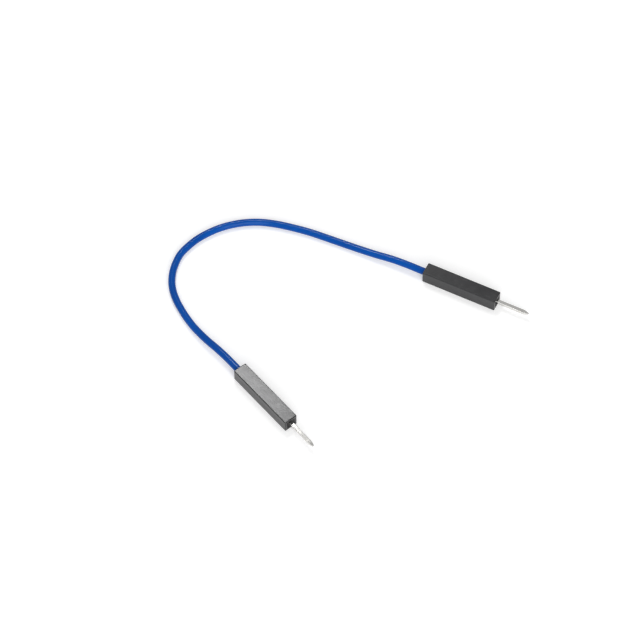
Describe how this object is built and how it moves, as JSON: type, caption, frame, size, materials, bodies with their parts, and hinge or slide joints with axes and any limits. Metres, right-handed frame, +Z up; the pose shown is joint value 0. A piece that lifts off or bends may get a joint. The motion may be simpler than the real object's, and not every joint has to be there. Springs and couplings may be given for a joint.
{
  "type": "breadboard jumper wire",
  "caption": "Short flexible hook-up wire, bent in a loose hook, with a square-pin connector in a slim black housing on each end.",
  "frame": {"origin": "middle of the box round the two connectors, on the surface that the housings lie on", "axes": "+Z up from the surface; +X along the longest side of the box round the two connectors, towards the right connector; +Y towards the outer side of the wire's bend at its top"},
  "size_m": [0.0631, 0.0486, 0.0025],
  "materials": {
    "housing_plastic": "black moulded nylon, satin, with rounded edges",
    "terminal_metal": "bright tin plating over stamped brass",
    "jacket_vinyl": "smooth blue vinyl with a soft gloss",
    "strand_metal": "fine drawn copper strands, lightly tinned"
  },
  "bodies": {
    "root": {"housing_right": "housing_plastic", "housing_left": "housing_plastic", "terminal_right": "terminal_metal", "terminal_left": "terminal_metal", "wire_jacket": "jacket_vinyl", "strand_centre": "strand_metal", "strand_1": "strand_metal", "strand_2": "strand_metal", "strand_3": "strand_metal", "strand_4": "strand_metal", "strand_5": "strand_metal", "strand_6": "strand_metal"}
  },
  "joints": []
}
